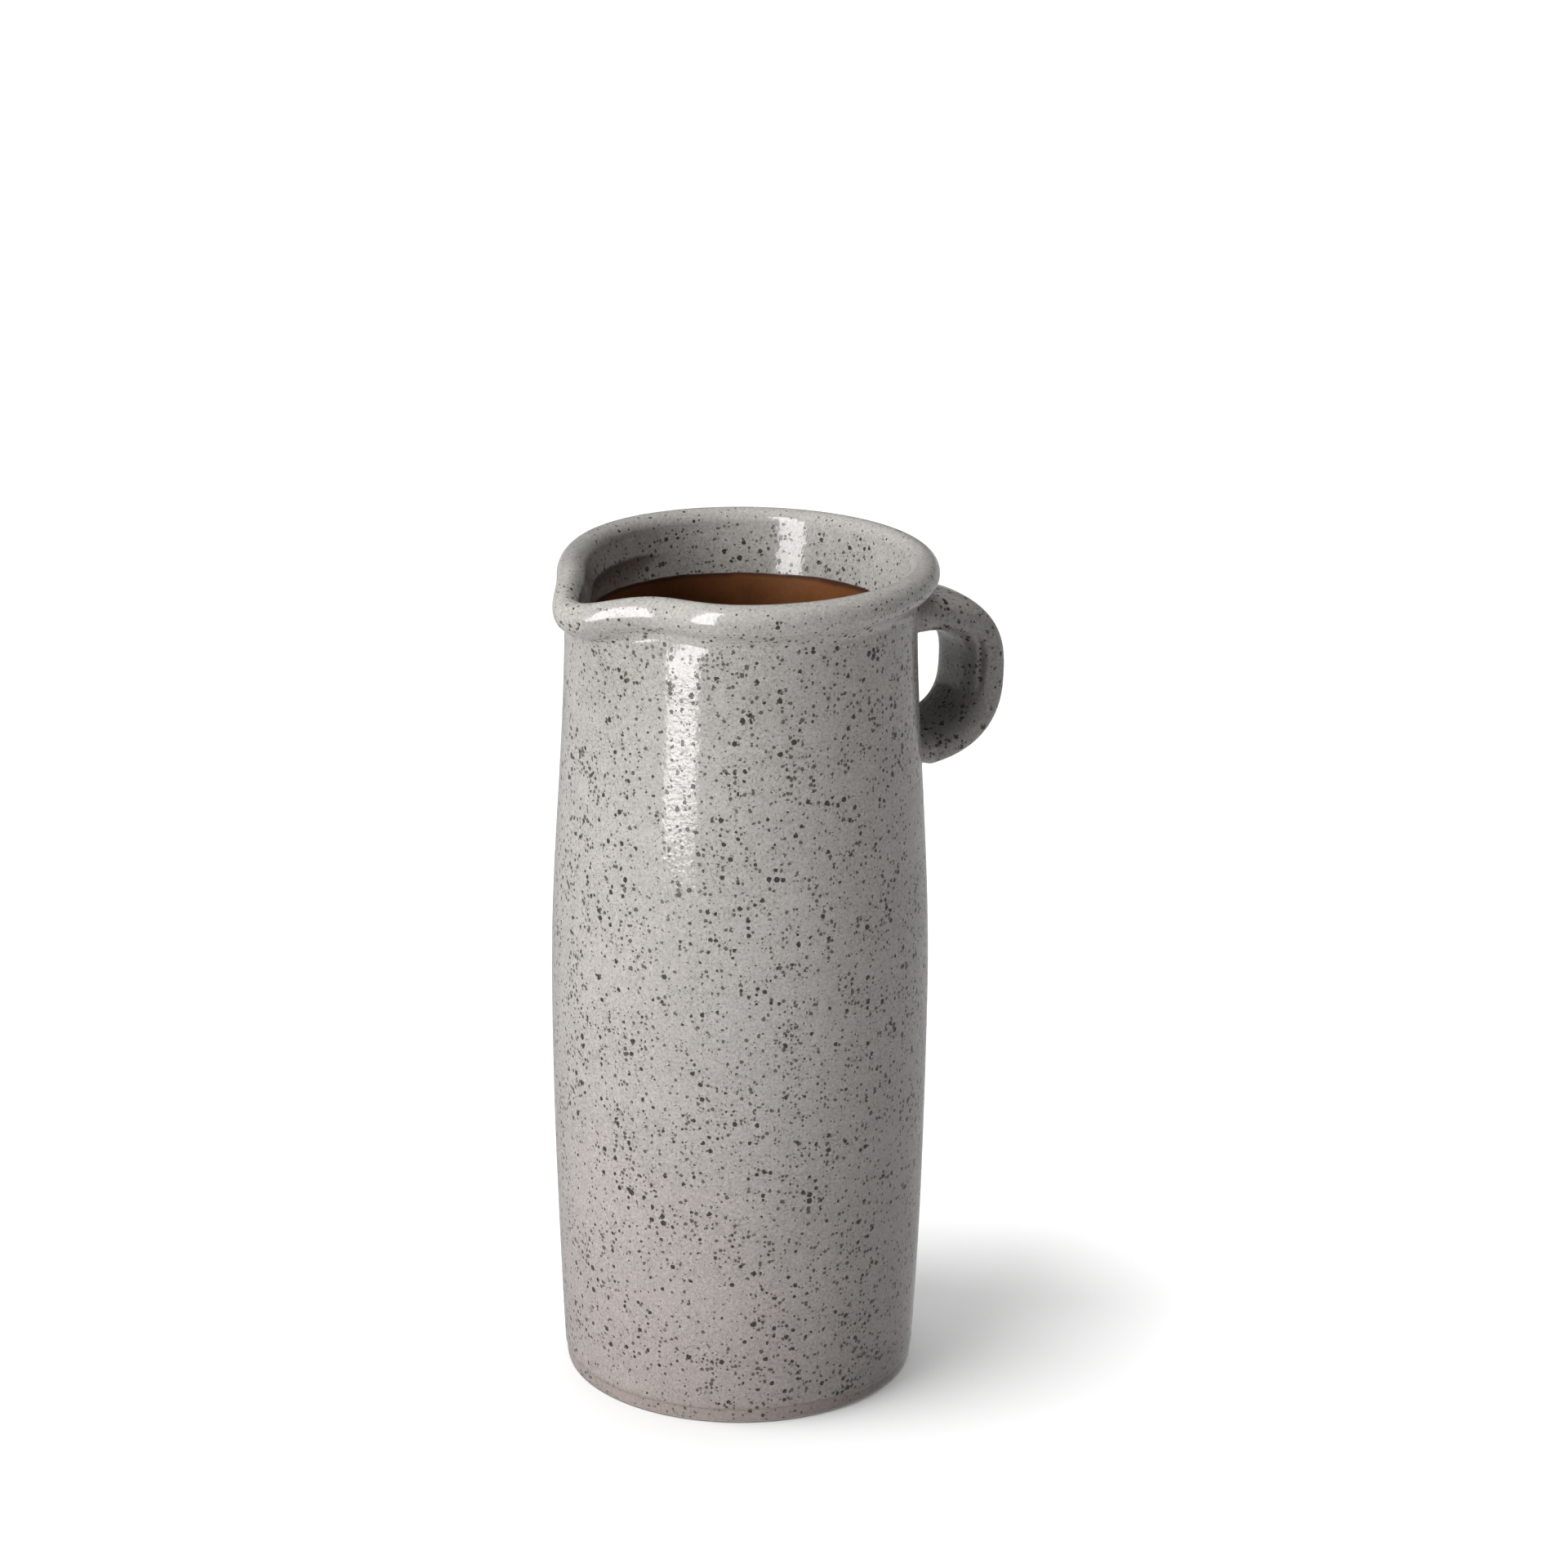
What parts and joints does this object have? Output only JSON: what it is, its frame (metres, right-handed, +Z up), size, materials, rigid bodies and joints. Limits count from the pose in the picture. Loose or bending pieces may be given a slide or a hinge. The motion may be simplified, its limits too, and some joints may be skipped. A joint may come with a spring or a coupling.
{
  "type": "ceramic pitcher",
  "caption": "Tall slightly barrelled stoneware pitcher with a rolled rim, a shallow pulled pouring lip and a strap loop handle.",
  "frame": {"origin": "on the body's axis, in the plane of the flat underside", "axes": "+Z up along the body, +X out through the middle of the handle; the pouring lip points close to -X"},
  "size_m": [0.1478, 0.1136, 0.25],
  "materials": {
    "foot_glaze": "thin pinkish brown glaze over stoneware, half matt",
    "speckled_glaze": "glossy warm grey glaze with dark iron specks",
    "rim_glaze": "glossy pale grey glaze with few specks",
    "brown_liner": "satin dark red brown liner glaze",
    "handle_glaze": "glossy grey glaze, thinner and darker on the edges",
    "root_glaze": "glossy grey glaze pooled in the joint"
  },
  "bodies": {
    "root": {"base_slab": "foot_glaze", "body_wall": "speckled_glaze", "rim_roll": "rim_glaze", "liner_glaze": "brown_liner", "handle_strap": "handle_glaze", "handle_upper_root": "root_glaze", "handle_lower_root": "root_glaze"}
  },
  "joints": []
}
